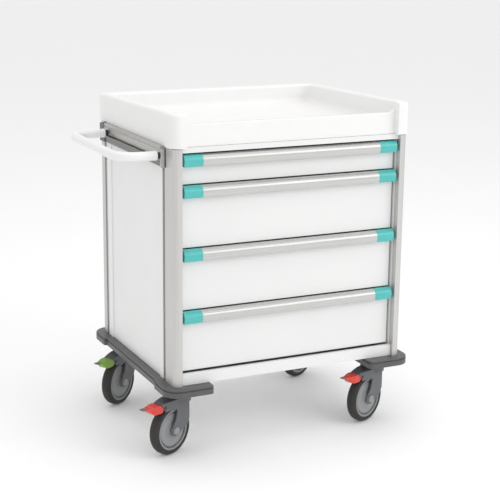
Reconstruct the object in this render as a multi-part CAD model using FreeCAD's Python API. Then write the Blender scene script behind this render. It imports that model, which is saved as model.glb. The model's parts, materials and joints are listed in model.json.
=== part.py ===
"""Instrument cart: a four-drawer cabinet on four swivel castors, with a raised-rim worktop tray.

Cabinet coordinates, in millimetres: x = 0 at the cabinet's left side, y = 0 at its front,
z = 0 on the floor. Every piece is moved by `to_row_frame` when it is written, so that the
origin lies on the floor in the middle of the whole cart, with +x right, +y back and +z up.
"""
import FreeCAD, Part
import math
import os

V = FreeCAD.Vector
X_AXIS, Y_AXIS, Z_AXIS = V(1, 0, 0), V(0, 1, 0), V(0, 0, 1)

# ---- cabinet ---------------------------------------------------------------------------
cabinet_width = 618.0
cabinet_depth = 504.0
cabinet_bottom = 182.0          # posts and panels stand on the bumpers at this height
post_top = 749.2                # a shadow gap stays between the posts and the tray
cabinet_top = 751.0             # the worktop tray rests on the deck at this height
post_width = 21.0
post_face_front = 57.0          # depth of the smooth side face of a front post
post_face_rear = 34.0
post_wall = 2.4
post_corner_radius = 14.0
slot_width = 12.0               # T-slot that runs up each post
slot_depth = 9.0
slot_lip = 4.0
sheet = 1.5                     # sheet steel of the panels
seam = 0.2                      # gap between a folded sheet and a post
trim_inset = 0.5                # painted panels stand this far inside the posts
panel_foot = 0.5                # the panels' lower edge above the bumpers
panel_head = 1.0                # the panels' upper edge below the tray
back_inset = 2.0                # the back panel lies this far inside the posts' rear
back_flange = 8.0
liner_rear = 12.0               # the liner and floor end this far before the cabinet's rear
floor_gap = 3.0                 # the cabinet's floor lies this far above the bumpers
floor_sheet = 2.0
kick_shelf = 10.0
panel_recess = 3.5              # the middle of a side panel lies behind its two borders
border_front = 18.0
border_rear = 29.0
liner_front = 17.0              # the inner liner starts this far behind the posts' front
front_setback = 9.0             # kick panel and top strip behind the posts' front
kick_top = 210.0
strip_bottom = 738.5

# ---- worktop tray ----------------------------------------------------------------------
tray_overhang = 5.0
rim_stock = 5.0                 # height above the front rim before the slope is cut
above_rim = 9.0                 # cutting tools end this far above the front rim
rim_height_front = 829.0
rim_height_rear = 819.0
lip_height = 804.0
lip_setback = 13.0
lip_bottom = 751.5              # a fine shadow line stays above the top strip
tray_corner_length = 31.0       # the raised front corners, measured from the cabinet's side
tray_floor = 770.0
tray_wall = 4.0
rim_width = 25.0
rim_rounding = 7.0
waist_start = 44.0              # the side walls stand back between their proud corners
waist_end = 485.0
waist_depth = 4.0
waist_front_slope = 12.0
waist_rear_slope = 28.0
lip_width = 11.0
lip_corner_rounding = 12.0
lip_edge_rounding = 3.0
basin_fillet = 16.0
foot_width = 34.0               # the tray's solid edge rests on the deck
foot_front = 14.0
tray_corner_radius = 24.0
channel_start = 80.0            # hollow channels run up inside the side and rear rims
channel_end = 424.0
channel_rear_inset = 50.0
channel_below_lip = 4.0

# ---- drawers, numbered from the top ----------------------------------------------------
drawer_lines = [735.0, 662.0, 512.0, 362.0, 212.0]
drawer_side_gap = 6.0
drawer_face = 22.0              # front faces lie this far behind the posts' front
front_thickness = 15.0
drawer_gap = 2.0
drawer_back = 478.0
front_crest = 8.0               # the front ends this far below the drawer's upper line
front_wall = 2.0
front_edge_radius = 1.5
box_wall = 1.5
box_corner_radius = 6.0
box_clearance_below = 9.0
box_clearance_above = 16.0
handle_height = 27.5
cap_length = 47.0
cap_proud = 0.6
grip_seat = 22.0                # depth at which grip and caps meet the drawer front
grip_inside = [(8.0, -27.5), (6.0, -20.0), (5.7, -14.0), (6.8, -10.4), (9.0, -6.8),
               (13.4, -3.6), (19.6, -3.6), (19.6, -26.0), (22.0, -26.0), (22.0, -0.5)]

# ---- telescopic runners ----------------------------------------------------------------
runner_start = 40.0
runner_length = 436.0
runner_thickness = 12.6
runner_height = 42.0
channel_wall = 1.4
runner_above_box_floor = 26.0
member_step = 2.5               # each inner member is this much lower at top and bottom
outer_mouth = 1.5               # the members' edges stop short of the drawer box
middle_web = 2.2
middle_mouth = 2.4
inner_mouth = 4.6

# ---- accessory rail and push handle ----------------------------------------------------
rail_thickness = 11.0
rail_bottom = 702.0
rail_top = 750.7
rail_start = 57.0
rail_end = 440.0
rail_slot = (719.5, 730.5)      # the slot's lower and upper level
rail_underside_back = 3.5       # the face below the slot leans back this far at its foot
rail_lip = 2.0
rail_undercut = 2.0             # the slot widens this much behind its lips
rail_slot_depth = 7.5
rail_groove = (741.8, 743.6)    # a decorative groove in the upper band
rail_groove_depth = 1.2
end_plate = 3.0
end_plate_levels = (700.5, 744.0)
seal_width = 5.0                # the dark seal between the end plate and the front post
seal_thickness = 0.8
seal_top = 745.0
end_block_length = 34.0
end_block_top = 747.5
end_block_proud = 1.0
end_block_rounding = 3.0
handle_tube_radius = 11.0
handle_tube_wall = 1.5
handle_reach = 108.0            # from the cabinet's side to the tube's centre line
handle_front = 60.5
handle_rear = 418.0
handle_level = 728.5
handle_bend = 50.0
bush_length = 8.0
bush_radius = 7.5
stud_radius = 1.9
stud_length = 7.0

# ---- bumpers ---------------------------------------------------------------------------
bumper_bottom = 162.0
bumper_side = 17.0              # how far the side bar stands out
bumper_corner = 24.0            # how far the corners stand out at the sides
bumper_end = 21.0               # how far the corners stand out at front and rear
bumper_arm = 96.0
bumper_corner_length = 75.0     # the corner bulge ends this far behind the posts' front
bumper_radius = 38.0
bumper_end_radius = 13.0
bumper_chamfer = 2.4
bumper_bulge_rounding = 6.0
bumper_seat_rounding = 9.0
bumper_overlap = 14.0           # the side bar reaches this far below the side panel
bumper_groove = (175.2, 178.4)  # a groove runs round below the top
bumper_groove_depth = 3.0
nut_pocket_radius = 15.0
nut_pocket_depth = 9.0
nut_radius = 13.5
nut_height = 8.0

# ---- castors ---------------------------------------------------------------------------
castor_inset_x = 38.0
castor_inset_y = 64.0
wheel_radius = 62.5
wheel_trail = 35.0
rim_radius = 50.4
fork_half_width = 20.5
fork_gap = 15.0
fork_top = 150.0
collar_top = 156.0
collar_radius = 29.0
hub_boss_radius = 14.5
stem_radius = 8.0
stem_bottom = 128.0
stem_bore_bottom = 124.0
stem_bore_slack = 0.1
flange_radius = 20.0
flange_height = 3.5
axle_radius = 6.0
axle_cap_radius = 8.5
axle_cap_height = 3.4
pin_radius = 2.5
running_clearance = 0.05
fork_edge_rounding = 2.5
wheel_room = 4.0                # free space between the tyre and the housing
pin_half_length = 15.5
pedal_pivot_u = 65.7
pedal_pivot_z = 128.4

# Castor profiles: u runs from the stem towards the wheel, v along the axle, z up from the
# floor, r out from the axle
fork_profile = [(24.5, 52.5), (-8, 68), (-15, 82), (-15, 141), (-7, fork_top), (26, fork_top),
                (30, 142), (60, 141.5), (80, 139.5), (73, 130), (68, 124), (68, 117),
                (31, 116.5), (28, 110), (33, 90), (45.5, 72.5)]     # u, z
fork_plan = [(-30, -20.5), (42, -20.5), (81, -12.8), (81, 12.8), (42, 20.5), (-30, 20.5)]  # u, v
pedal_room = (54, 92, -9, 9, 110, 138)                              # u, v and z limits
wheel_section = [(14.0, 14.0), (10.5, 15.5), (10.5, 42.5), (8.5, 43.5), (8.5, 45.0),
                 (12.0, 46.5), (12.0, rim_radius)]                  # v, r
tyre_section = [(12.0, rim_radius), (13.0, rim_radius + 2), (13.0, 56.5), (11.2, 59.4),
                (8.0, 61.4), (4.0, 62.3)]                           # v, r
paddle_side = [(74.5, 131.5), (82.5, 139), (107, 138), (120, 138.8), (120, 135), (101, 118.6),
               (79, 117.3), (72.5, 119.5), (71.3, 126)]             # u, z
paddle_plan = [(60, -14), (97, -14), (122, -6), (122, 6), (97, 14), (60, 14)]   # u, v
paddle_half_width = 14.0
tip_side = [(114, 134.5), (114, 138.6), (134, 141), (137, 140), (134, 137), (124, 134)]  # u, z
tip_half_width = 5.0
arm_side = [(60, 124.5), (60, 132.5), (65, 134.5), (80, 136), (80, 126), (68, 123.5)]    # u, z
arm_half_width = 7.0

castors = {
    "front_left": (castor_inset_x, castor_inset_y, 26.4),
    "front_right": (cabinet_width - castor_inset_x, castor_inset_y, 24.1),
    "rear_left": (castor_inset_x, cabinet_depth - castor_inset_y, 35.7),
    "rear_right": (cabinet_width - castor_inset_x, cabinet_depth - castor_inset_y, 26.0),
}                               # stem x, stem y, degrees that the wheel trails towards the front
pedal_castors = ["front_left", "front_right", "rear_left"]

past = 1.0                      # cutting tools run this far past the faces they open

# The whole cart reaches from the push handle to the right bumper
left_reach = handle_reach + handle_tube_radius
row_origin = V((cabinet_width + bumper_corner - left_reach) / 2, cabinet_depth / 2, 0)


# ---- general helpers -------------------------------------------------------------------
def box(x0, x1, y0, y1, z0, z1):
    return Part.makeBox(x1 - x0, y1 - y0, z1 - z0, V(x0, y0, z0))


def fuse(shapes):
    return shapes[0].multiFuse(shapes[1:]).removeSplitter()


def cut(shape, tools):
    for tool in tools:
        shape = shape.cut(tool)
    return shape


def cylinder(start, direction, radius, length):
    return Part.makeCylinder(radius, length, start, direction)


def plate_xy(points, z0, z1):
    """A prism whose outline is given in plan."""
    wire = Part.makePolygon([V(x, y, z0) for x, y in points + points[:1]])
    return Part.Face(wire).extrude(V(0, 0, z1 - z0))


def plate_yz(points, x0, x1):
    """A prism along x, whose outline is given as (y, z)."""
    wire = Part.makePolygon([V(x0, y, z) for y, z in points + points[:1]])
    return Part.Face(wire).extrude(V(x1 - x0, 0, 0))


def plate_xz(points, y0, y1):
    """A prism along y, whose outline is given as (x, z)."""
    wire = Part.makePolygon([V(x, y0, z) for x, z in points + points[:1]])
    return Part.Face(wire).extrude(V(0, y1 - y0, 0))


def edges_where(shape, test):
    return [edge for edge in shape.Edges if test(edge)]


def is_upright(edge):
    first, last = edge.Vertexes[0].Point, edge.Vertexes[-1].Point
    return abs(first.x - last.x) < 1e-6 and abs(first.y - last.y) < 1e-6 and first != last


def lies_at(edge, axis, value):
    return all(abs(getattr(vertex.Point, axis) - value) < 1e-4 for vertex in edge.Vertexes)


def round_uprights(shape, radius, test=lambda x, y: True):
    """Round the upright edges that `test` picks by their place in plan."""
    def chosen(edge):
        return is_upright(edge) and test(edge.Vertexes[0].Point.x, edge.Vertexes[0].Point.y)
    return shape.makeFillet(radius, edges_where(shape, chosen))


def mirror_x(shape):
    return shape.mirror(V(cabinet_width / 2, 0, 0), X_AXIS)


def mirror_y(shape):
    return shape.mirror(V(0, cabinet_depth / 2, 0), Y_AXIS)


def to_row_frame(shape):
    moved = shape.copy()
    moved.translate(-row_origin)
    return moved


def write(name, shape):
    to_row_frame(shape).exportStep("parts/" + name + ".step")


# ---- cabinet ---------------------------------------------------------------------------
def post(face_depth):
    """A hollow aluminium post with a rounded outer corner and a T-slot up its side."""
    depth = face_depth + slot_width + slot_lip
    body = box(0, post_width, 0, depth, cabinet_bottom, post_top)
    body = round_uprights(body, post_corner_radius, lambda x, y: x < 1 and y < 1)
    hollow = box(post_wall, post_width - post_wall, post_wall, face_depth - post_wall,
                 cabinet_bottom - past, cabinet_top + past)
    hollow = round_uprights(hollow, post_corner_radius - post_wall,
                            lambda x, y: x < post_wall + 1 and y < post_wall + 1)
    slot = box(-past, slot_depth, face_depth, face_depth + slot_width,
               cabinet_bottom - past, cabinet_top + past)
    return cut(body, [hollow, slot])


def side_panel():
    """A double-skinned side: a recessed outer skin between two borders, and a liner."""
    y_start = post_face_front + slot_width + slot_lip
    y_end = cabinet_depth - post_face_rear - slot_width - slot_lip
    bottom, top = cabinet_bottom + panel_foot, cabinet_top - panel_head
    outer = trim_inset
    back_of_step = panel_recess + sheet
    pieces = [
        box(outer, outer + sheet, y_start, y_start + border_front, bottom, top),
        box(outer, back_of_step, y_start + border_front - sheet, y_start + border_front,
            bottom, top),
        box(panel_recess, back_of_step, y_start + border_front - sheet,
            y_end - border_rear + sheet, bottom, top),
        box(outer, back_of_step, y_end - border_rear, y_end - border_rear + sheet, bottom, top),
        box(outer, outer + sheet, y_end - border_rear, y_end, bottom, top),
        box(outer, post_width + sheet, y_start, y_start + sheet, bottom, top),
        box(outer, post_width + sheet, y_end - sheet, y_end, bottom, top),
        box(post_width, post_width + sheet, liner_front, cabinet_depth - liner_rear,
            bottom, top),
    ]
    return fuse(pieces)


def back_panel():
    """A folded sheet between the rear posts."""
    x0, x1 = post_width + seam, cabinet_width - post_width - seam
    y0, y1 = cabinet_depth - back_inset - back_flange, cabinet_depth - back_inset
    bottom, top = cabinet_bottom + panel_foot, cabinet_top - panel_head
    skin = box(x0, x1, y1 - sheet, y1, bottom, top)
    left = box(x0, x0 + sheet, y0, y1, bottom, top)
    right = box(x1 - sheet, x1, y0, y1, bottom, top)
    return fuse([skin, left, right])


def base_tray():
    """The cabinet's floor, folded up in front into the kick panel below the last drawer."""
    inner = post_width + sheet
    floor_level = cabinet_bottom + floor_gap
    floor = box(inner, cabinet_width - inner, front_setback, cabinet_depth - liner_rear,
                floor_level, floor_level + floor_sheet)
    kick = box(post_width + seam, cabinet_width - post_width - seam, front_setback,
               front_setback + sheet, cabinet_bottom, kick_top)
    shelf = box(inner, cabinet_width - inner, front_setback, front_setback + kick_shelf,
                kick_top - sheet, kick_top)
    return fuse([floor, kick, shelf])


def top_frame():
    """The deck below the worktop tray, folded down in front into the strip above drawer 1."""
    inner = post_width + sheet
    deck = box(inner, cabinet_width - inner, front_setback, cabinet_depth - liner_rear,
               cabinet_top - floor_sheet, cabinet_top)
    strip = box(post_width + seam, cabinet_width - post_width - seam, front_setback,
                front_setback + sheet, strip_bottom, cabinet_top)
    return fuse([deck, strip])


# ---- worktop tray ----------------------------------------------------------------------
def rim_slope_tool():
    """Everything above the rim, which falls from the front to the rear."""
    y0, y1 = -60.0, cabinet_depth + 60.0
    slope = (rim_height_rear - rim_height_front) / cabinet_depth
    points = [(y0, rim_height_front + slope * y0), (y1, rim_height_front + slope * y1),
              (y1, rim_height_front + 60), (y0, rim_height_front + 60)]
    return plate_yz(points, -60, cabinet_width + 60)


def tray_shell():
    """The rim and floor with every top edge rounded, before the front is lowered."""
    x0, x1 = -tray_overhang, cabinet_width + tray_overhang
    y0, y1 = -tray_overhang, cabinet_depth + tray_overhang
    body = box(x0, x1, y0, y1, cabinet_top, rim_height_front + rim_stock)
    body = round_uprights(body, tray_corner_radius)
    waist = plate_xy([(x0 - past, waist_start), (x0, waist_start),
                      (x0 + waist_depth, waist_start + waist_front_slope),
                      (x0 + waist_depth, waist_end - waist_rear_slope),
                      (x0, waist_end), (x0 - past, waist_end)],
                     cabinet_top - past, rim_height_front + above_rim)
    body = cut(body, [rim_slope_tool(), waist, mirror_x(waist)])
    basin = box(x0 + rim_width, x1 - rim_width, lip_setback + lip_width, y1 - rim_width,
                tray_floor, rim_height_front + above_rim)
    basin = round_uprights(basin, tray_corner_radius)
    basin = basin.makeFillet(basin_fillet,
                             edges_where(basin, lambda e: lies_at(e, "z", tray_floor)))
    body = body.cut(basin)
    slope = (rim_height_rear - rim_height_front) / cabinet_depth

    def on_rim(edge):
        return all(abs(v.Point.z - rim_height_front - slope * v.Point.y) < 0.01
                   for v in edge.Vertexes)
    return body.makeFillet(rim_rounding, edges_where(body, on_rim))


def lip_tool():
    """What is taken away above the low front lip, with rounded lower corners."""
    y_front = -tray_overhang - past
    reach = lip_setback + 60 - y_front
    tool = box(tray_corner_length, cabinet_width - tray_corner_length, y_front,
               y_front + reach, lip_height, rim_height_front + above_rim)
    corners = edges_where(tool, lambda e: lies_at(e, "z", lip_height)
                          and abs(e.Length - reach) < 0.01)
    return tool.makeFillet(lip_corner_rounding, corners)


def lip_edge_tool():
    """What is taken away to round the lip's front edge."""
    x0 = tray_corner_length + lip_corner_rounding
    x1 = cabinet_width - x0
    corner = box(x0, x1, lip_setback - past, lip_setback + lip_edge_rounding,
                 lip_height - lip_edge_rounding, lip_height + past)
    roll = cylinder(V(x0, lip_setback + lip_edge_rounding, lip_height - lip_edge_rounding),
                    X_AXIS, lip_edge_rounding, x1 - x0)
    return corner.cut(roll)


def worktop_tray():
    """A moulded tray: rim on three sides, raised front corners and a low front lip."""
    left, right = tray_corner_length, cabinet_width - tray_corner_length
    y_front = -tray_overhang - past
    recess = box(left, right, y_front, lip_setback, cabinet_top - past,
                 rim_height_front + above_rim)
    below_lip = box(left, right, y_front, lip_setback + lip_width, cabinet_top - past,
                    lip_bottom)
    body = cut(tray_shell(), [recess, lip_tool(), below_lip, lip_edge_tool()])
    underside = box(foot_width, cabinet_width - foot_width, lip_setback + foot_front,
                    cabinet_depth - foot_width, cabinet_top - past, tray_floor - tray_wall)
    channel_top = lip_height - channel_below_lip
    channel_left = box(waist_depth + tray_wall - tray_overhang,
                       rim_width - tray_overhang - tray_wall,
                       channel_start, channel_end, cabinet_top - past, channel_top)
    y_rear = cabinet_depth + tray_overhang
    channel_rear = box(channel_rear_inset, cabinet_width - channel_rear_inset,
                       y_rear - rim_width + tray_wall, y_rear - tray_wall,
                       cabinet_top - past, channel_top)
    return cut(body, [underside, channel_left, mirror_x(channel_left), channel_rear])


# ---- drawers ---------------------------------------------------------------------------
drawer_left = post_width + drawer_side_gap
drawer_right = cabinet_width - drawer_left
box_left = post_width + sheet + runner_thickness
box_right = cabinet_width - box_left


def drawer_front(top_line, next_line):
    """A folded front, open at the back, that ends below the handle's crest."""
    z0, z1 = next_line + drawer_gap, top_line - front_crest
    y1 = drawer_face + front_thickness
    wall = front_wall
    shell = box(drawer_left, drawer_right, drawer_face, y1, z0, z1)
    shell = round_uprights(shell, front_edge_radius, lambda x, y: y < drawer_face + past)
    hollow = box(drawer_left + wall, drawer_right - wall, drawer_face + wall, y1 + past,
                 z0 + wall, z1 - wall)
    back = box(box_left, box_right, y1 - sheet, y1, z0 + box_clearance_below, z1 - wall)
    return fuse([shell.cut(hollow), back])


def drawer_box(top_line, next_line):
    """The open sheet-steel drawer behind its front, with rolled upper edges."""
    z0, z1 = next_line + box_clearance_below, top_line - box_clearance_above
    y0 = drawer_face + front_thickness
    body = box(box_left, box_right, y0, drawer_back, z0, z1)
    body = round_uprights(body, box_corner_radius)
    inside = box(box_left + box_wall, box_right - box_wall, y0 + box_wall,
                 drawer_back - box_wall, z0 + box_wall, z1 + past)
    inside = round_uprights(inside, box_corner_radius - box_wall)
    return body.cut(inside)


def handle_outline(grow):
    """The grip's outer face as (y, drop below the drawer line), from crest to lower lip."""
    return [(17.0, -0.5 + grow), (12.5, -1.1 + grow), (7.0 - grow, -5.0 + grow),
            (4.2 - grow, -9.5), (3.2 - grow, -14.0), (3.6 - grow, -20.0),
            (5.6 - grow, -handle_height - grow)]


def drawer_handle(top_line):
    """A hooked aluminium grip: fingers go up behind its lower lip."""
    points = [(y, top_line + drop) for y, drop in handle_outline(0) + grip_inside]
    return plate_yz(points, drawer_left + cap_length, drawer_right - cap_length)


def drawer_caps(top_line):
    """The two solid end caps of the grip."""
    seat = [(grip_seat, -handle_height - cap_proud), (grip_seat, -seam)]
    points = [(y, top_line + drop) for y, drop in handle_outline(cap_proud) + seat]
    left = plate_yz(points, drawer_left, drawer_left + cap_length)
    return Part.makeCompound([left, mirror_x(left)])


# ---- runners ---------------------------------------------------------------------------
def channel(x_web, x_edge, z_mid, height):
    """A C-shaped runner member; its web stands at x_web and its flanges reach x_edge."""
    step = channel_wall if x_edge > x_web else -channel_wall
    x_inner = x_web + step
    y0, y1 = runner_start, runner_start + runner_length
    z0, z1 = z_mid - height / 2, z_mid + height / 2
    web = box(min(x_web, x_inner), max(x_web, x_inner), y0, y1, z0, z1)
    low = box(min(x_web, x_edge), max(x_web, x_edge), y0, y1, z0, z0 + channel_wall)
    high = box(min(x_web, x_edge), max(x_web, x_edge), y0, y1, z1 - channel_wall, z1)
    return fuse([web, low, high])


def runner_members(next_line):
    """Cabinet, middle and drawer member of the left runner of one drawer."""
    x0 = post_width + sheet
    x1 = x0 + runner_thickness
    z_mid = next_line + box_clearance_below + runner_above_box_floor
    outer = channel(x0, x1 - outer_mouth, z_mid, runner_height)
    middle = channel(x0 + middle_web, x1 - middle_mouth, z_mid,
                     runner_height - 2 * member_step)
    inner = channel(x1, x0 + inner_mouth, z_mid, runner_height - 4 * member_step)
    return outer, middle, inner


def pair(shape):
    return Part.makeCompound([shape, mirror_x(shape)])


# ---- accessory rail and push handle ----------------------------------------------------
def accessory_rail():
    """A slotted extrusion along the cabinet's left side, and the plate over its front end."""
    x_face = -rail_thickness
    section = [(0, rail_bottom), (0, rail_top), (x_face, rail_top), (x_face, rail_slot[0]),
               (x_face + rail_underside_back, rail_bottom)]
    body = plate_xz(section, rail_start, rail_end)
    y0, y1 = rail_start - past, rail_end + past
    low, high = rail_slot
    mouth = box(x_face - past, x_face + rail_lip + past, y0, y1, low, high)
    chamber = box(x_face + rail_lip, x_face + rail_slot_depth, y0, y1,
                  low - rail_undercut, high + rail_undercut)
    groove = box(x_face - past, x_face + rail_groove_depth, y0, y1, *rail_groove)
    plate = box(x_face, 0, rail_start - end_plate, rail_start, *end_plate_levels)
    return Part.makeCompound([cut(body, [mouth, chamber, groove]), plate])


def rail_fittings():
    """The rail's front seal and rear block, and the two bushes that carry the handle."""
    y_plate = rail_start - end_plate
    seal = box(-seal_thickness, 0, y_plate - seal_width, y_plate, end_plate_levels[0], seal_top)
    block = box(-rail_thickness - end_block_proud, 0, rail_end, rail_end + end_block_length,
                rail_bottom, end_block_top)
    block = round_uprights(block, end_block_rounding, lambda x, y: x < -past)
    bushes = []
    for y in (handle_front, handle_rear):
        bush = cylinder(V(-rail_thickness - bush_length, y, handle_level), X_AXIS,
                        bush_radius, bush_length)
        stud = cylinder(V(-rail_thickness, y, handle_level), X_AXIS, stud_radius, stud_length)
        bushes.append(bush.fuse(stud))
    return Part.makeCompound([seal, block] + bushes)


def push_handle():
    """A round tube bent into a U, with both ends on the rail's bushes."""
    x_end = -rail_thickness - bush_length
    x_grip = -handle_reach
    bend = handle_bend
    x_bend = x_grip + bend
    z = handle_level
    shift = bend * (1 - math.sqrt(0.5))
    front, rear = handle_front, handle_rear
    arc_front = Part.Arc(V(x_bend, front, z), V(x_grip + shift, front + shift, z),
                         V(x_grip, front + bend, z))
    arc_rear = Part.Arc(V(x_grip, rear - bend, z), V(x_grip + shift, rear - shift, z),
                        V(x_bend, rear, z))
    path = Part.Wire([
        Part.LineSegment(V(x_end, front, z), V(x_bend, front, z)).toShape(),
        arc_front.toShape(),
        Part.LineSegment(V(x_grip, front + bend, z), V(x_grip, rear - bend, z)).toShape(),
        arc_rear.toShape(),
        Part.LineSegment(V(x_bend, rear, z), V(x_end, rear, z)).toShape(),
    ])

    def swept(radius):
        ring = Part.Wire(Part.Circle(V(x_end, front, z), X_AXIS, radius).toShape())
        return path.makePipeShell([ring], True, True)
    return swept(handle_tube_radius).cut(swept(handle_tube_radius - handle_tube_wall))


# ---- bumpers ---------------------------------------------------------------------------
def bumper_block(inset, bottom, top):
    """The front-left corner: a bulge round the cabinet's corner and a seat for a castor."""
    bulge = box(-bumper_corner + inset, bumper_arm - inset, -bumper_end + inset,
                bumper_corner_length - inset, bottom, top)
    bulge = round_uprights(bulge, bumper_radius - inset, lambda x, y: x < 0 and y < 0)
    bulge = round_uprights(bulge, bumper_end_radius - inset, lambda x, y: x > 0 and y < 0)
    bulge = round_uprights(bulge, bumper_bulge_rounding,
                           lambda x, y: x < 0 and y > bumper_radius)
    seat = box(0, bumper_arm - inset, bumper_radius, bumper_arm, bottom, top)
    seat = round_uprights(seat, bumper_seat_rounding,
                          lambda x, y: x > 0 and y > bumper_arm - past)
    return bulge.fuse(seat)


def bumper_layer(inset, bottom, top):
    """A slice of the left bumper: two corner blocks joined by a side bar."""
    block = bumper_block(inset, bottom, top)
    y0, y1 = bumper_corner_length, cabinet_depth - bumper_corner_length
    bar = box(-bumper_side + inset, bumper_overlap, y0 - bumper_bulge_rounding,
              y1 + bumper_bulge_rounding, bottom, top)
    return fuse([block, mirror_y(block), bar])


def bumper():
    """The left bumper with its groove, and its bores for the castors."""
    top, bottom = cabinet_bottom, bumper_bottom
    groove_low, groove_high = bumper_groove
    body = fuse([bumper_layer(0, bottom, groove_low),
                 bumper_layer(bumper_groove_depth, groove_low, groove_high),
                 bumper_layer(0, groove_high, top)])
    body = body.makeChamfer(bumper_chamfer, edges_where(body, is_outer_top_edge))
    tools = []
    for y in (castor_inset_y, cabinet_depth - castor_inset_y):
        tools.append(cylinder(V(castor_inset_x, y, bottom - past), Z_AXIS,
                              stem_radius + stem_bore_slack, top - bottom + 2 * past))
        tools.append(cylinder(V(castor_inset_x, y, top - nut_pocket_depth), Z_AXIS,
                              nut_pocket_radius, nut_pocket_depth + past))
    return cut(body, tools)


def is_outer_top_edge(edge):
    """An edge of the bumper's top that lies outside the cabinet's outline."""
    middle = edge.CenterOfMass
    outside = middle.x < -past or middle.y < -past or middle.y > cabinet_depth + past
    return lies_at(edge, "z", cabinet_bottom) and outside


# ---- castors, built with the stem on the z axis and the wheel trailing along +x ----------
def place(shape, castor):
    x, y, swing = castors[castor]
    placed = shape.copy()
    placed.rotate(V(0, 0, 0), Z_AXIS, 180 + swing)
    placed.translate(V(x, y, 0))
    return placed


def wheel_cylinder(radius, half_width):
    return cylinder(V(wheel_trail, -half_width, wheel_radius), Y_AXIS, radius, 2 * half_width)


def pivot_cylinder(radius, half_width):
    return cylinder(V(pedal_pivot_u, -half_width, pedal_pivot_z), Y_AXIS, radius,
                    2 * half_width)


def fork_outline():
    """The housing's side view as a face, with a round boss about the axle."""
    first, last = fork_profile[0], fork_profile[-1]
    below = V(wheel_trail, 0, wheel_radius - hub_boss_radius)
    boss = Part.Arc(V(last[0], 0, last[1]), below, V(first[0], 0, first[1])).toShape()
    chain = Part.makePolygon([V(u, 0, z) for u, z in fork_profile])
    return Part.Face(Part.Wire(chain.Edges + [boss]))


def fork():
    """A moulded housing: two legs down to the axle and a canopy over the wheel."""
    body = fork_outline().extrude(V(0, 2 * fork_half_width, 0))
    body.translate(V(0, -fork_half_width, 0))
    body = body.common(plate_xy(fork_plan, 0, collar_top))

    def is_canopy_edge(edge):
        low = min(vertex.Point.z for vertex in edge.Vertexes)
        flat = abs(edge.Vertexes[0].Point.y - edge.Vertexes[-1].Point.y) < fork_half_width
        return abs(edge.CenterOfMass.y) > pedal_room[3] and low > pedal_room[5] and flat
    body = body.makeFillet(fork_edge_rounding, edges_where(body, is_canopy_edge))
    collar = cylinder(V(0, 0, stem_bottom), Z_AXIS, collar_radius, collar_top - stem_bottom)
    body = body.fuse(collar).removeSplitter()
    stem_bore = cylinder(V(0, 0, stem_bore_bottom), Z_AXIS, stem_radius + running_clearance,
                         collar_top - stem_bore_bottom + past)
    return cut(body, [
        wheel_cylinder(wheel_radius + wheel_room, fork_gap),
        box(*pedal_room),
        stem_bore,
        wheel_cylinder(axle_radius + running_clearance, fork_half_width + past),
        pivot_cylinder(pin_radius + running_clearance, fork_half_width),
    ])


def castor_pins(with_pedal):
    """The wheel's axle with its round caps and, where there is a pedal, the pivot pin."""
    axle = wheel_cylinder(axle_radius, fork_half_width + seam)
    caps = [cylinder(V(wheel_trail, side * (fork_half_width + seam / 2), wheel_radius),
                     V(0, side, 0), axle_cap_radius, axle_cap_height) for side in (-1, 1)]
    capped_axle = fuse([axle] + caps)
    if not with_pedal:
        return capped_axle
    return Part.makeCompound([capped_axle, pivot_cylinder(pin_radius, pin_half_length)])


def revolve_about_axle(half_section, middle=[]):
    """A ring from one half of its section, given as (distance along the axle, radius)."""
    other = [(-v, r) for v, r in reversed(half_section)]
    points = half_section + middle + other
    ring = [V(wheel_trail, v, wheel_radius + r) for v, r in points + points[:1]]
    face = Part.Face(Part.makePolygon(ring))
    return face.revolve(V(wheel_trail, 0, wheel_radius), Y_AXIS, 360)


def wheel():
    """The wheel's moulded centre: hub, flat disc, groove and raised rim."""
    hub_edge = (wheel_section[0][0], axle_radius + running_clearance)
    return revolve_about_axle([hub_edge] + wheel_section)


def tyre():
    """A crowned ring on the wheel's rim."""
    return revolve_about_axle(tyre_section, [(0.0, wheel_radius)])


def pedal():
    """A paddle that narrows to a tip, on an arm that pivots inside the canopy."""
    paddle = plate_xz(paddle_side, -paddle_half_width, paddle_half_width)
    paddle = paddle.common(plate_xy(paddle_plan, pedal_room[4], fork_top))
    tip = plate_xz(tip_side, -tip_half_width, tip_half_width)
    arm = plate_xz(arm_side, -arm_half_width, arm_half_width)
    bore = pivot_cylinder(pin_radius + running_clearance, arm_half_width + past)
    return fuse([paddle, tip, arm]).cut(bore)


def castor_stems():
    """The four steel stems, each with a flange below its block and a nut sunk into it."""
    stems = []
    nut_bottom = cabinet_bottom - nut_pocket_depth
    for x, y, _ in castors.values():
        shaft = cylinder(V(x, y, stem_bottom), Z_AXIS, stem_radius,
                         cabinet_bottom - stem_bottom)
        flange = cylinder(V(x, y, bumper_bottom - flange_height), Z_AXIS, flange_radius,
                          flange_height)
        corners = [(x + nut_radius * math.cos(math.radians(60 * side)),
                    y + nut_radius * math.sin(math.radians(60 * side)))
                   for side in range(6)]
        nut = plate_xy(corners, nut_bottom, nut_bottom + nut_height)
        stems.append(fuse([shaft, flange, nut]))
    return Part.makeCompound(stems)


# ---- write every piece -----------------------------------------------------------------
def write_cabinet():
    front_left = post(post_face_front)
    rear_left = mirror_y(post(post_face_rear))
    write("post_front_left", front_left)
    write("post_front_right", mirror_x(front_left))
    write("post_rear_left", rear_left)
    write("post_rear_right", mirror_x(rear_left))
    write("side_panel_left", side_panel())
    write("side_panel_right", mirror_x(side_panel()))
    write("back_panel", back_panel())
    write("base_tray", base_tray())
    write("top_frame", top_frame())
    write("worktop_tray", worktop_tray())
    write("accessory_rail", accessory_rail())
    write("rail_fittings", rail_fittings())
    write("push_handle", push_handle())
    write("bumper_left", bumper())
    write("bumper_right", mirror_x(bumper()))
    write("castor_stems", castor_stems())


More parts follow.
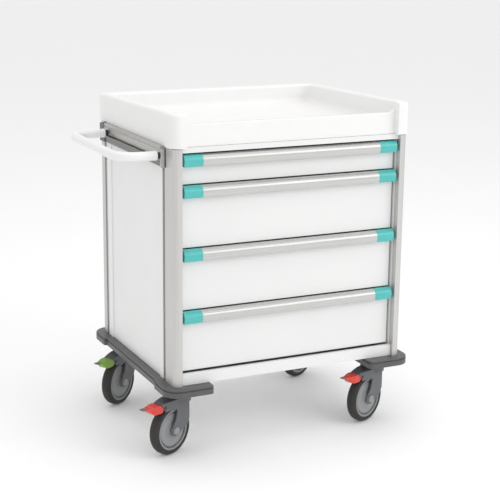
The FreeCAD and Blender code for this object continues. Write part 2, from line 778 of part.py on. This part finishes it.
def write_drawers():
    fixed_members = []
    for number, (top_line, next_line) in enumerate(zip(drawer_lines, drawer_lines[1:]), 1):
        name = "drawer_%d_" % number
        fixed, middle, inner = runner_members(next_line)
        fixed_members += [fixed, mirror_x(fixed)]
        write(name + "front", drawer_front(top_line, next_line))
        write(name + "box", drawer_box(top_line, next_line))
        write(name + "handle", drawer_handle(top_line))
        write(name + "end_caps", drawer_caps(top_line))
        write(name + "runner_inner", pair(inner))
        write(name + "runner_middle", pair(middle))
    write("runner_outer_members", Part.makeCompound(fixed_members))


def write_castors():
    shapes = {"fork": fork(), "wheel": wheel(), "tyre": tyre()}
    for castor in castors:
        for name, shape in shapes.items():
            write("castor_%s_%s" % (castor, name), place(shape, castor))
        with_pedal = castor in pedal_castors
        write("castor_%s_pins" % castor, place(castor_pins(with_pedal), castor))
        if with_pedal:
            write("castor_%s_pedal" % castor, place(pedal(), castor))


os.makedirs("parts", exist_ok=True)
write_cabinet()
write_drawers()
write_castors()
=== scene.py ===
"""Looks of the instrument cart: finished surfaces, softened edges, floor, light and camera."""
import json
import math

import bmesh
import bpy
from mathutils import Matrix, Vector

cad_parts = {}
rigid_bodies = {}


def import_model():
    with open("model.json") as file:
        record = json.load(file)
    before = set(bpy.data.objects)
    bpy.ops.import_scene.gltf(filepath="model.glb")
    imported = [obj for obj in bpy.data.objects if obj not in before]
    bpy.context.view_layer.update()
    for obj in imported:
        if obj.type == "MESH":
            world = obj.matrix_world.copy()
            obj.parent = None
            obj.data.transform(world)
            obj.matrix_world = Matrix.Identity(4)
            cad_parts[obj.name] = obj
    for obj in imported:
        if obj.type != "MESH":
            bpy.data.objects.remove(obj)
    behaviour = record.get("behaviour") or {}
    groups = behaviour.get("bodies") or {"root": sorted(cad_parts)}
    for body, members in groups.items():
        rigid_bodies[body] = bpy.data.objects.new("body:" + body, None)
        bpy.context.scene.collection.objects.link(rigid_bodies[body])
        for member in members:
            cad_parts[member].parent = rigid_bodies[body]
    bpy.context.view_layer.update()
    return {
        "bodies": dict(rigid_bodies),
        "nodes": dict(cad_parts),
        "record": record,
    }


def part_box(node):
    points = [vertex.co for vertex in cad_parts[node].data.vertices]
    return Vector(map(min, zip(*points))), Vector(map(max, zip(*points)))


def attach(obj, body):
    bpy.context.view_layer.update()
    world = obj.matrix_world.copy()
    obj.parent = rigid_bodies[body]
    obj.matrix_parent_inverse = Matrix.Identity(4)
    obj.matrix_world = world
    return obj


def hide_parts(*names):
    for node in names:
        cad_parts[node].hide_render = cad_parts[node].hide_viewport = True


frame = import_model()

NODES = frame["nodes"]
JOINTS = {joint["name"]: joint for joint in frame["record"]["behaviour"]["joints"]}
SLOT_OF = {entry["node"]: entry["material_slot"] for entry in frame["record"]["subparts"]}
BODY_OF = {node: body for body, nodes in frame["record"]["behaviour"]["bodies"].items()
           for node in nodes}

# ---- shaping, in mm and degrees ------------------------------------------------------------
MM = 0.001                      # Blender works in metres
WELD_DISTANCE = 0.002
FLAT_ANGLE = 0.4                # faces that meet at less than this are one face
SHARP_ANGLE = 32.0              # edges that turn more than this are rounded
EDGE_ROUNDING = {               # ending of the node's name: radius, or 0 for even shading only
    "_front": 0.7, "_handle": 0.35, "_end_caps": 0.9, "_box": 0.3,
    "post_front_left": 0.5, "post_front_right": 0.5, "post_rear_left": 0.5,
    "post_rear_right": 0.5, "side_panel_left": 0.5, "side_panel_right": 0.5,
    "back_panel": 0.5, "base_tray": 0.4, "top_frame": 0.4,
    "bumper_left": 0.7, "bumper_right": 0.7, "_fork": 1.0, "worktop_tray": 0,
}
REMADE_NODES = {"push_handle"}  # has such an ending, but a function of its own makes it anew

HANDLE_TUBE_RADIUS = 11.0
HANDLE_BEND = 50.0
HANDLE_ROUNDNESS = 12           # bevel resolution of the tube's round section
HANDLE_STEPS = 24               # steps along each stretch of the tube
ARC_HANDLE = 0.5523             # Bezier handle length for a quarter circle of radius 1

END_PLATE = 3.0
RAIL_ROUNDING = 0.35
END_PLATE_ROUNDING = 0.6
BUSH_ROUNDING = 0.4
END_BLOCK_ROUNDING = 0.8
RAIL_SLOT_FOOT = 19.0           # the slot's lower lip, above the rail's lowest point
RAIL_SHADE_EDGE = 1.0           # the rail's painted shade fades out over this much below the lip

TURNING_STEPS = 96              # sides of a turned piece
AXLE_CAP_STEPS = 48
PIVOT_CAP_STEPS = 32
FORK_HALF_WIDTH = 20.5          # half the housing's width at the axle
PIVOT_HALF_WIDTH = 15.4         # half the housing's width where the pedal pivots
PEDAL_SEAM = 124.0              # from the stem to where the pedal's grey tip begins
PEDAL_ROUNDING = 0.9

# Half sections of wheel and tyre, as (distance from the middle plane, radius).
WHEEL_FACE = [(13.6, 6.2), (13.6, 10.0), (12.9, 10.6), (12.9, 13.2), (11.0, 14.2), (10.2, 15.6),
              (9.6, 24.0), (9.9, 24.6), (9.9, 26.2), (9.5, 26.8), (9.2, 40.6), (8.2, 41.6),
              (4.6, 42.0), (4.6, 44.6), (11.4, 45.4), (12.0, 46.2), (12.0, 49.4), (11.4, 50.4)]
TYRE_FACE = [(11.2, 50.4), (12.4, 50.6), (13.0, 51.6), (13.0, 55.6), (12.6, 57.4),
             (11.2, 59.3), (8.2, 61.3), (4.2, 62.3), (0.4, 62.5)]
# Sections of the caps, as (distance outwards from the housing's side, radius).
AXLE_CAP = [(0, 0), (0, 9.8), (2.4, 9.8), (3.5, 9.2), (4.2, 8.0), (4.5, 6.2), (4.5, 0)]
PIVOT_CAP = [(-2.0, 0), (-2.0, 3.6), (0.5, 3.6), (0.9, 3.0), (0.9, 0)]

# ---- camera, floor and light, in metres, degrees and watts ---------------------------------
CAMERA_PLACE = (-1.3600, -2.9417, 1.2453)
CAMERA_AZIMUTH = -25.642
CAMERA_ELEVATION = 14.035
CAMERA_ROLL = 0.664
CAMERA_LENS = 93.98             # in mm, as is the sensor's width
CAMERA_SENSOR = 36.0

FLOOR_HALF_SIZE = 30.0
FLOOR_GREY = 0.94
FLOOR_GLOW = 0.05
WORLD_STRENGTH = 0.86
LIGHT_TARGET = (0, 0, 0.5)
AREA_LIGHTS = {                 # name: place, side, power
    "key": ((2.2, -3.2, 2.6), 2.4, 39),
    "overhead": ((0, 0, 3.6), 3.0, 24),
}


# ---- materials -----------------------------------------------------------------------------
NOISE_RANGE = (0.3, 0.7)        # nearly all of a noise texture's values lie in here
BLOTCH_RANGE = (0.55, 0.75)     # where blotches begin to show, and where they show in full
# Scales that stretch the noise into lines along an axis.
ALONG_X, ALONG_Y, ALONG_Z = (0.01, 1, 1), (1, 0.01, 1), (1, 1, 0.01)


class Surface:
    """A node material whose colour, roughness and relief come from noise in object space, and
    whose colour can take painted shade below a level.
    """

    def __init__(self, name, metallic=0.0, stretch=(1, 1, 1)):
        self.material = bpy.data.materials.new(name)
        self.material.use_nodes = True
        self.tree = self.material.node_tree
        self.shader = self.tree.nodes["Principled BSDF"]
        self.shader.inputs["Metallic"].default_value = metallic
        self.place = self.node("ShaderNodeTexCoord").outputs["Object"]
        mapping = self.node("ShaderNodeMapping")
        mapping.inputs["Scale"].default_value = stretch
        self.link(self.place, mapping.inputs["Vector"])
        self.grain_place = mapping.outputs["Vector"]
        self.base = None

    def node(self, kind):
        return self.tree.nodes.new(kind)

    def link(self, out_socket, in_socket):
        self.tree.links.new(out_socket, in_socket)

    def noise(self, scale, detail=4.0, along_grain=True, roughness=0.55):
        texture = self.node("ShaderNodeTexNoise")
        texture.inputs["Scale"].default_value = scale
        texture.inputs["Detail"].default_value = detail
        texture.inputs["Roughness"].default_value = roughness
        self.link(self.grain_place if along_grain else self.place, texture.inputs["Vector"])
        return texture.outputs["Fac"]

    def remap(self, value, source, target):
        """A value carried from one range to another, and held at the other's ends."""
        spread = self.node("ShaderNodeMapRange")
        for ending, number in zip(("From Min", "From Max", "To Min", "To Max"), source + target):
            spread.inputs[ending].default_value = number
        self.link(value, spread.inputs["Value"])
        return spread.outputs["Result"]

    def ramp(self, factor, stops):
        """Colours at places along a factor, as a colour ramp."""
        ramp = self.node("ShaderNodeValToRGB")
        elements = ramp.color_ramp.elements
        while len(elements) < len(stops):
            elements.new(0.5)
        for element, (place, colour) in zip(elements, stops):
            element.position = place
            element.color = (*colour, 1.0)
        self.link(factor, ramp.inputs["Fac"])
        return ramp.outputs["Color"]

    def set_base(self, colour):
        self.base = colour
        self.link(colour, self.shader.inputs["Base Color"])
        return self

    def colour(self, base, spread, scale):
        """The base colour drifts a little lighter and darker over the surface."""
        darker = [channel * (1 - spread) for channel in base]
        lighter = [min(1.0, channel * (1 + spread)) for channel in base]
        low, high = NOISE_RANGE
        stops = [(low, darker), ((low + high) / 2, base), (high, lighter)]
        return self.set_base(self.ramp(self.noise(scale), stops))

    def mix_in(self, tone, factor):
        """Another tone over the base colour, as far as the factor says."""
        mix = self.node("ShaderNodeMix")
        mix.data_type = "RGBA"
        self.link(factor, mix.inputs["Factor"])
        self.link(self.base, mix.inputs["A"])
        mix.inputs["B"].default_value = (*tone, 1.0)
        return self.set_base(mix.outputs["Result"])

    def blotches(self, tone, strength, scale):
        """Patches of another tone, such as dust or scuffs."""
        patches = self.noise(scale, detail=8.0, along_grain=False, roughness=0.65)
        return self.mix_in(tone, self.remap(patches, BLOTCH_RANGE, (0.0, strength)))

    def painted_shade_foot(self, tone, strength, level, softness):
        """Painted shade: a darker tone below a level, standing in for the shade under the
        undercut foot of an extrusion.
        """
        parts = self.node("ShaderNodeSeparateXYZ")
        self.link(self.place, parts.inputs["Vector"])
        return self.mix_in(tone, self.remap(parts.outputs["Z"], (level - softness, level),
                                            (strength, 0.0)))

    def roughness(self, low, high, scale):
        spread = self.remap(self.noise(scale), NOISE_RANGE, (low, high))
        self.link(spread, self.shader.inputs["Roughness"])
        return self

    def relief(self, scale, depth, strength):
        """Fine relief, of a depth in metres."""
        bump = self.node("ShaderNodeBump")
        bump.inputs["Strength"].default_value = strength
        bump.inputs["Distance"].default_value = depth
        self.link(self.noise(scale, detail=3.0), bump.inputs["Height"])
        self.link(bump.outputs["Normal"], self.shader.inputs["Normal"])
        return self


def powder_coat(name, base):
    """Satin powder coat with the faint orange peel that it dries with."""
    surface = Surface(name)
    surface.colour(base, spread=0.012, scale=6.0)
    surface.roughness(low=0.34, high=0.46, scale=90.0)
    return surface.relief(scale=420.0, depth=0.00012, strength=0.35)


def moulded(name, base, rough, spread=0.03):
    """Injection-moulded plastic with an eroded grain."""
    surface = Surface(name)
    surface.colour(base, spread, scale=25.0)
    surface.roughness(low=rough - 0.06, high=rough + 0.08, scale=140.0)
    return surface.relief(scale=1500.0, depth=0.00008, strength=0.45)


def extruded_aluminium(name, base, stretch, rough=0.36, metallic=0.85):
    """Anodised extrusion: fine die lines run along its length."""
    surface = Surface(name, metallic, stretch)
    surface.colour(base, spread=0.05, scale=700.0)
    surface.roughness(low=rough - 0.05, high=rough + 0.08, scale=500.0)
    return surface.relief(scale=1100.0, depth=0.00005, strength=0.30)


def rail_extrusion(name, base, stretch):
    """The rail's extrusion, with painted shade where its foot leans back below the slot."""
    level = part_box("accessory_rail")[0].z + RAIL_SLOT_FOOT * MM
    surface = extruded_aluminium(name, base, stretch)
    # painted shade: the rail's foot below the slot is darkened to stand for the shade there
    return surface.painted_shade_foot(tone=(0.15, 0.145, 0.14), strength=0.9, level=level,
                               softness=RAIL_SHADE_EDGE * MM)


def zinc_plated(name, base):
    """Zinc-plated steel with a faint mottle."""
    surface = Surface(name, metallic=0.9)
    surface.colour(base, spread=0.10, scale=60.0)
    surface.roughness(low=0.28, high=0.48, scale=80.0)
    return surface.relief(scale=900.0, depth=0.00004, strength=0.25)


def rubber(name, base):
    """Tyre rubber with patches of dust."""
    surface = Surface(name)
    surface.colour(base, spread=0.10, scale=45.0)
    surface.blotches(tone=[channel * 1.9 for channel in base], strength=0.35, scale=70.0)
    surface.roughness(low=0.55, high=0.75, scale=160.0)
    return surface.relief(scale=1300.0, depth=0.00012, strength=0.55)


def bumper_plastic(name, base):
    """Moulded plastic with the scuffs that a bumper collects."""
    surface = moulded(name, base, rough=0.38, spread=0.06)
    return surface.blotches(tone=(0.16, 0.16, 0.165), strength=0.25, scale=30.0)


def make_finishes():
    """One finished material for each of the record's material slots."""
    white = (0.82, 0.819, 0.816)
    surfaces = {
        "cabinet_white": powder_coat("cabinet powder coat", white),
        "drawer_white": powder_coat("drawer powder coat", white),
        "drawer_grey": powder_coat("drawer box powder coat", (0.62, 0.63, 0.64)),
        "handle_white": powder_coat("push handle coating", (0.87, 0.87, 0.87)),
        "tray_white": moulded("worktop moulding", (0.86, 0.857, 0.85), rough=0.42, spread=0.01),
        "post_aluminium": extruded_aluminium("post extrusion", (0.60, 0.59, 0.575), ALONG_Z,
                                             rough=0.40, metallic=0.55),
        # the rail's darker base than the posts' is partly painted shade, for its side that faces
        # away from the key light
        "rail_aluminium": rail_extrusion("rail extrusion", (0.50, 0.49, 0.47), ALONG_Y),
        "handle_aluminium": extruded_aluminium("grip extrusion", (0.56, 0.56, 0.545), ALONG_X,
                                               rough=0.26, metallic=0.40),
        "cap_teal": moulded("teal cap moulding", (0.08, 0.50, 0.475), rough=0.24),
        "fitting_black": moulded("black fitting moulding", (0.02, 0.02, 0.022), rough=0.45),
        "bumper_grey": bumper_plastic("bumper moulding", (0.092, 0.093, 0.095)),
        "castor_grey": moulded("castor housing moulding", (0.125, 0.128, 0.138), rough=0.42,
                               spread=0.05),
        "wheel_grey": moulded("wheel centre moulding", (0.275, 0.28, 0.285), rough=0.42,
                              spread=0.05),
        "tyre_grey": rubber("tyre rubber", (0.026, 0.025, 0.023)),
        "pedal_red": moulded("red pedal moulding", (0.68, 0.05, 0.032), rough=0.30),
        "pedal_green": moulded("green pedal moulding", (0.225, 0.40, 0.055), rough=0.38),
        "castor_steel": zinc_plated("castor steel", (0.42, 0.43, 0.45)),
        "runner_steel": zinc_plated("runner steel", (0.50, 0.51, 0.53)),
    }
    return {slot: surface.material for slot, surface in surfaces.items()}


FINISHES = make_finishes()


def wear(obj, slot):
    """Give an object the finish of one of the record's material slots."""
    obj.data.materials.clear()
    obj.data.materials.append(FINISHES[slot])


for node_name, node_object in NODES.items():
    wear(node_object, SLOT_OF[node_name])


# ---- pieces in general ---------------------------------------------------------------------
def join_scene(name, data):
    obj = bpy.data.objects.new(name, data)
    bpy.context.scene.collection.objects.link(obj)
    return obj


def finish_piece(obj, body, slot, *replaced):
    """Set a piece's finish and the body it rides on, and hide the CAD nodes it stands for."""
    wear(obj, slot)
    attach(obj, body)
    if replaced:
        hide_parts(*replaced)


def clean_copy(node):
    """A bmesh of a CAD node with its triangles joined into flat faces."""
    cage = bmesh.new()
    cage.from_mesh(NODES[node].data)
    bmesh.ops.remove_doubles(cage, verts=cage.verts, dist=WELD_DISTANCE * MM)
    bmesh.ops.dissolve_limit(cage, angle_limit=math.radians(FLAT_ANGLE), verts=cage.verts,
                             edges=cage.edges, use_dissolve_boundaries=False)
    loose = [vert for vert in cage.verts if not vert.link_faces]
    bmesh.ops.delete(cage, geom=loose, context="VERTS")
    return cage


def mesh_piece(name, cage):
    """An object made of a bmesh, smooth but for its sharp edges."""
    mesh = bpy.data.meshes.new(name)
    cage.to_mesh(mesh)
    cage.free()
    mesh.polygons.foreach_set("use_smooth", [True] * len(mesh.polygons))
    mesh.set_sharp_from_angle(angle=math.radians(SHARP_ANGLE))
    return join_scene(name, mesh)


def soften(obj, width, segments=2):
    """Round the sharp edges by a small width, with even shading on the flat faces."""
    if width:
        bevel = obj.modifiers.new("edge rounding", "BEVEL")
        bevel.width = width * MM
        bevel.segments = segments
        bevel.limit_method = "ANGLE"
        bevel.angle_limit = math.radians(SHARP_ANGLE)
        bevel.use_clamp_overlap = False
        bevel.miter_outer = "MITER_ARC"
    normals = obj.modifiers.new("even normals", "WEIGHTED_NORMAL")
    normals.keep_sharp = True
    return obj


def softened_node(node, width):
    """A copy of a CAD node with rounded edges, which stands for it."""
    piece = soften(mesh_piece(node + ".finished", clean_copy(node)), width)
    finish_piece(piece, BODY_OF[node], SLOT_OF[node], node)


def shells_of(cage):
    """The separate shells of a bmesh, as lists of vertices."""
    unseen = set(cage.verts)
    while unseen:
        shell, edge_of_shell = [], [unseen.pop()]
        while edge_of_shell:
            vert = edge_of_shell.pop()
            shell.append(vert)
            for link in vert.link_edges:
                other = link.other_vert(vert)
                if other in unseen:
                    unseen.remove(other)
                    edge_of_shell.append(other)
        yield shell


def partial_node(node, part, belongs, width, slot):
    """The solids of a CAD node whose middles belong to a part, as a piece with rounded edges."""
    cage = clean_copy(node)
    dropped = []
    for shell in shells_of(cage):
        middle = sum((vert.co for vert in shell), Vector()) / len(shell)
        if not belongs(middle):
            dropped += shell
    bmesh.ops.delete(cage, geom=dropped, context="VERTS")
    piece = soften(mesh_piece(node + "." + part, cage), width)
    finish_piece(piece, BODY_OF[node], slot, node)


def turned(name, section, centre, axis, steps=TURNING_STEPS):
    """A ring or disc turned about an axis from a section of (along, radius) in mm.

    A section that starts and ends on the axis makes a disc, and any other one a ring.
    """
    side = axis.cross(Vector((0, 0, 1))).normalized()
    other = axis.cross(side)
    angles = [2 * math.pi * step / steps for step in range(steps)]
    cage = bmesh.new()
    rings = []
    for along, radius in section:
        middle = centre + axis * along * MM
        if radius == 0:
            rings.append([cage.verts.new(middle)] * steps)
            continue
        rings.append([cage.verts.new(middle + radius * MM * (math.cos(angle) * side
                                                              + math.sin(angle) * other))
                      for angle in angles])
    is_ring = section[0][1] != 0 or section[-1][1] != 0
    following_rings = rings[1:] + rings[:1] if is_ring else rings[1:]
    for first, second in zip(rings, following_rings):
        for step in range(steps):
            following = (step + 1) % steps
            corners = [first[step], first[following], second[following], second[step]]
            cage.faces.new(list(dict.fromkeys(corners)))
    bmesh.ops.recalc_face_normals(cage, faces=cage.faces)
    return mesh_piece(name, cage)


# ---- cabinet, rail and push handle -----------------------------------------------------------
def build_softened_nodes():
    """Rounded edges on every node that EDGE_ROUNDING names."""
    for node in NODES:
        for ending, width in EDGE_ROUNDING.items():
            if node.endswith(ending) and node not in REMADE_NODES:
                softened_node(node, width)


def build_push_handle():
    """The push handle's tube as one smooth curve between its two bushes."""
    low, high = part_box("push_handle")
    radius = HANDLE_TUBE_RADIUS * MM
    bend = HANDLE_BEND * MM
    ease = bend * ARC_HANDLE
    x_end, x_grip = high.x, low.x + radius
    z = (low.z + high.z) / 2
    front, rear = low.y + radius, high.y - radius
    curve = bpy.data.curves.new("push_handle.tube", "CURVE")
    curve.dimensions = "3D"
    curve.bevel_depth = radius
    curve.bevel_resolution = HANDLE_ROUNDNESS
    curve.resolution_u = HANDLE_STEPS
    curve.use_fill_caps = True
    spline = curve.splines.new("BEZIER")
    # place, direction of travel, handle length before, handle length after
    stations = [
        ((x_end, front), (-1, 0), 0, 0),
        ((x_grip + bend, front), (-1, 0), 0, ease),
        ((x_grip, front + bend), (0, 1), ease, 0),
        ((x_grip, rear - bend), (0, 1), 0, ease),
        ((x_grip + bend, rear), (1, 0), ease, 0),
        ((x_end, rear), (1, 0), 0, 0),
    ]
    spline.bezier_points.add(len(stations) - 1)
    for point, (place, travel, before, after) in zip(spline.bezier_points, stations):
        middle = Vector((*place, z))
        along = Vector((*travel, 0))
        point.handle_left_type = point.handle_right_type = "FREE"
        point.co = middle
        point.handle_left = middle - along * before
        point.handle_right = middle + along * after
    tube = join_scene("push_handle.tube", curve)
    finish_piece(tube, BODY_OF["push_handle"], "handle_white", "push_handle")


def build_rail():
    """The rail, whose darker finish is partly painted shade, and the brighter plate that closes
    its front end.
    """
    plate_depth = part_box("accessory_rail")[0].y + END_PLATE * MM
    partial_node("accessory_rail", "extrusion", lambda middle: middle.y > plate_depth,
                 RAIL_ROUNDING, "rail_aluminium")
    partial_node("accessory_rail", "end_plate", lambda middle: middle.y < plate_depth,
                 END_PLATE_ROUNDING, "post_aluminium")


def build_rail_fittings():
    """The black seal and bushes, and the grey block behind the rail. The seal beside the end
    plate is partly a dark sheet of painted shade, standing for the shadow line there.
    """
    rail_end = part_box("accessory_rail")[1].y
    # painted shade: the black seal here is partly a dark sheet that stands for the shadow line
    # beside the end plate
    partial_node("rail_fittings", "bushes", lambda middle: middle.y < rail_end,
                 BUSH_ROUNDING, "fitting_black")
    partial_node("rail_fittings", "block", lambda middle: middle.y > rail_end,
                 END_BLOCK_ROUNDING, "castor_grey")


build_softened_nodes()
build_push_handle()
build_rail()
build_rail_fittings()


# ---- castors ---------------------------------------------------------------------------------
def mirrored(half):
    """A whole section from its half on one side of the middle plane."""
    return half + [(-along, radius) for along, radius in reversed(half)]


def build_caps(castor, kind, section, middle, axis, half_width, steps, slot):
    """A pair of turned caps on both sides of a castor's housing."""
    for side, word in ((1, "a"), (-1, "b")):
        name = "%s_%s_%s" % (castor, kind, word)
        start = middle + axis * side * half_width * MM
        finish_piece(turned(name, section, start, axis * side, steps), castor, slot)


def build_pedal(castor, stem, outward):
    """A pedal's coloured paddle and its grey tip, parted at the seam."""
    node = castor + "_pedal"
    seam = Vector((stem.x, stem.y, 0)) + outward * PEDAL_SEAM * MM
    for part, cut_side, slot in (("paddle", outward, SLOT_OF[node]),
                                 ("tip", -outward, "castor_grey")):
        cage = clean_copy(node)
        whole = list(cage.verts) + list(cage.edges) + list(cage.faces)
        split = bmesh.ops.bisect_plane(cage, geom=whole, plane_co=seam, plane_no=cut_side,
                                       clear_outer=True)
        rim = [cut for cut in split["geom_cut"] if isinstance(cut, bmesh.types.BMEdge)]
        bmesh.ops.holes_fill(cage, edges=rim, sides=0)
        piece = soften(mesh_piece(node + "." + part, cage), PEDAL_ROUNDING, segments=3)
        finish_piece(piece, castor + "_brake", slot, node)


def build_castor(castor):
    """Turned tyre, wheel and caps of one castor, and its pedal if it has one."""
    roll = JOINTS[castor + "_roll"]
    centre, axis = Vector(roll["pos_m"]), Vector(roll["axis"]).normalized()
    tyre = turned(castor + "_tyre.finished", mirrored(TYRE_FACE), centre, axis)
    finish_piece(tyre, castor + "_rolling", "tyre_grey", castor + "_tyre")
    wheel = turned(castor + "_wheel.finished", mirrored(WHEEL_FACE), centre, axis)
    finish_piece(wheel, castor + "_rolling", "wheel_grey", castor + "_wheel")
    build_caps(castor, "axle_cap", AXLE_CAP, centre, axis, FORK_HALF_WIDTH, AXLE_CAP_STEPS,
               "wheel_grey")
    press = JOINTS.get(castor + "_brake_press")
    if press is None:
        return
    build_caps(castor, "pivot_cap", PIVOT_CAP, Vector(press["pos_m"]), axis, PIVOT_HALF_WIDTH,
               PIVOT_CAP_STEPS, "fitting_black")
    stem = Vector(JOINTS[castor + "_swivel"]["pos_m"])
    build_pedal(castor, stem, Vector((centre.x - stem.x, centre.y - stem.y, 0)).normalized())


for body in frame["bodies"]:
    if body + "_rolling" in frame["bodies"]:
        build_castor(body)


# ---- floor, light and camera -------------------------------------------------------------
def build_floor():
    size = FLOOR_HALF_SIZE
    mesh = bpy.data.meshes.new("floor")
    mesh.from_pydata([(-size, -size, 0), (size, -size, 0), (size, size, 0), (-size, size, 0)],
                     [], [(0, 1, 2, 3)])
    surface = Surface("studio floor")
    surface.colour([FLOOR_GREY] * 3, spread=0.004, scale=1.5)
    surface.roughness(low=0.75, high=0.85, scale=4.0)
    surface.shader.inputs["Emission Color"].default_value = (1.0, 1.0, 1.0, 1.0)
    surface.shader.inputs["Emission Strength"].default_value = FLOOR_GLOW
    mesh.materials.append(surface.material)
    join_scene("floor", mesh)


def build_world():
    world = bpy.data.worlds.new("studio")
    bpy.context.scene.world = world
    world.use_nodes = True
    background = world.node_tree.nodes["Background"]
    background.inputs["Color"].default_value = (1.0, 1.0, 1.0, 1.0)
    background.inputs["Strength"].default_value = WORLD_STRENGTH


def build_area_light(name, place, side, power):
    """A square light that faces the middle of the cart."""
    light = bpy.data.lights.new(name, "AREA")
    light.shape = "SQUARE"
    light.size = side
    light.energy = power
    lamp = join_scene(name, light)
    lamp.location = place
    travel = Vector(LIGHT_TARGET) - Vector(place)
    lamp.rotation_euler = travel.to_track_quat("-Z", "Y").to_euler()


def build_camera():
    """The camera, set by its azimuth and elevation and rolled a little about its own axis."""
    azimuth = math.radians(CAMERA_AZIMUTH)
    elevation = math.radians(CAMERA_ELEVATION)
    roll = math.radians(CAMERA_ROLL)
    back = Vector((math.sin(azimuth) * math.cos(elevation),
                   -math.cos(azimuth) * math.cos(elevation), math.sin(elevation)))
    right = (-back).cross(Vector((0, 0, 1))).normalized()
    up = right.cross(-back)
    rolled_right = math.cos(roll) * right + math.sin(roll) * up
    rolled_up = math.cos(roll) * up - math.sin(roll) * right
    data = bpy.data.cameras.new("camera")
    data.lens = CAMERA_LENS
    data.sensor_width = CAMERA_SENSOR
    camera = join_scene("camera", data)
    axes = Matrix((rolled_right, rolled_up, back)).transposed()
    camera.matrix_world = Matrix.Translation(CAMERA_PLACE) @ axes.to_4x4()
    bpy.context.scene.camera = camera


build_floor()
build_world()
for light_name, (place, side, power) in AREA_LIGHTS.items():
    build_area_light(light_name, place, side, power)
build_camera()
bpy.context.scene.view_settings.view_transform = "Standard"
